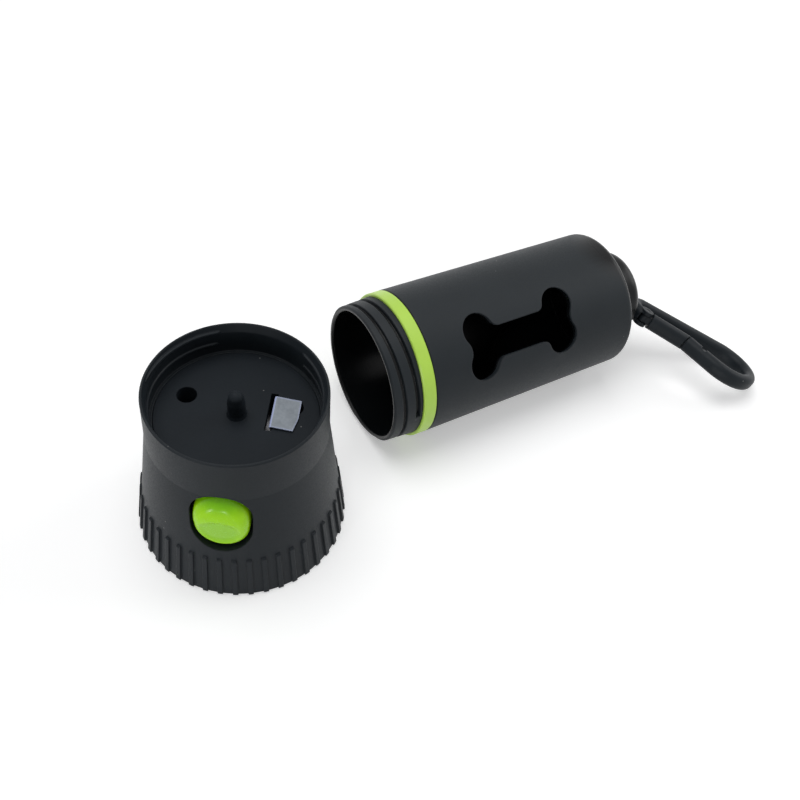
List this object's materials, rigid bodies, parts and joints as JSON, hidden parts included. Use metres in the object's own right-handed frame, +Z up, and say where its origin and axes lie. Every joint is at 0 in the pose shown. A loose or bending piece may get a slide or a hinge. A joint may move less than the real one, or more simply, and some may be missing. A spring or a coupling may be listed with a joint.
{
  "type": "waste bag dispenser with torch",
  "caption": "Tapered torch head with grip ribs and a green push button, beside the round bag canister it screws onto, which has a bone-shaped window, a green ring and a swivel snap hook.",
  "frame": {"origin": "Centre of the footprint, on the surface that the head stands on and the canister and hook lie on", "axes": "+X from the torch head along the canister to its hook, -Y the side that the button and the bone window face, +Z up"},
  "size_m": [0.2018, 0.0662, 0.051],
  "materials": {
    "black_plastic": "satin",
    "dark_plastic": "satin",
    "cover_plastic": "satin",
    "green_button_plastic": "semi-gloss",
    "green_trim_plastic": "semi-gloss",
    "tab_film": "matt",
    "blackened_steel": "blackened",
    "steel": "satin",
    "cell_steel": "polished",
    "contact_metal": "plated",
    "circuit_board": "satin",
    "led_epoxy": "clear",
    "reflector_chrome": "polished",
    "lens_clear": "polished",
    "seal_rubber": "matt",
    "plunger_plastic": "satin"
  },
  "bodies": {
    "canister": {"canister_shell": "black_plastic", "trim_ring": "green_trim_plastic", "boss_pin": "steel"},
    "link": {"hook_link": "dark_plastic"},
    "hook": {"hook_body": "black_plastic", "gate_pin": "steel"},
    "gate": {"hook_gate": "black_plastic"},
    "torch": {"head_shell": "black_plastic", "battery_cover": "cover_plastic", "cover_screws": "blackened_steel", "battery_tray": "dark_plastic", "button_cells": "cell_steel", "contact_leaf": "contact_metal", "contact_plate": "contact_metal", "led_board": "circuit_board", "led": "led_epoxy", "reflector": "reflector_chrome", "lens_seal": "seal_rubber", "lens": "lens_clear", "lens_ring": "black_plastic", "switch_body": "dark_plastic"},
    "button": {"button": "green_button_plastic"},
    "plunger": {"switch_plunger": "plunger_plastic"},
    "tab": {"isolating_tab": "tab_film"}
  },
  "joints": [
    {"name": "head_lift", "type": "slide", "parent": "canister", "child": "torch", "axis": [0, 0, 1], "range_m": [0, 0.08]},
    {"name": "button_press", "type": "slide", "parent": "torch", "child": "button", "axis": [0.5519, 0.8339, 0], "range_m": [0, 0.0012], "stiffness_N_per_m": 400, "springref_m": -0.001},
    {"name": "plunger_slide", "type": "slide", "parent": "torch", "child": "plunger", "axis": [0.5519, 0.8339, 0], "range_m": [0, 0.0012]},
    {"name": "tab_pull", "type": "slide", "parent": "torch", "child": "tab", "axis": [0, 0, 1], "range_m": [0, 0.02]},
    {"name": "link_swing", "type": "hinge", "parent": "canister", "child": "link", "pos_m": [0.06373, 0.01113, 0.0209], "axis": [-0.013, 0.3898, -0.9208], "range_deg": [-52, 4]},
    {"name": "hook_swivel", "type": "hinge", "parent": "link", "child": "hook", "pos_m": [0.06373, 0.01113, 0.0209], "axis": [0.6098, -0.7267, -0.3163], "continuous": true},
    {"name": "gate_open", "type": "hinge", "parent": "hook", "child": "gate", "pos_m": [0.06959, -0.00115, 0.01803], "axis": [0.4864, 0.0282, 0.8733], "range_deg": [0, 15], "stiffness_Nm_per_rad": 0.08, "springref_deg": -5.73}
  ],
  "couplings": [
    {"joint": "plunger_slide", "follows": "button_press", "ratio": 1}
  ]
}
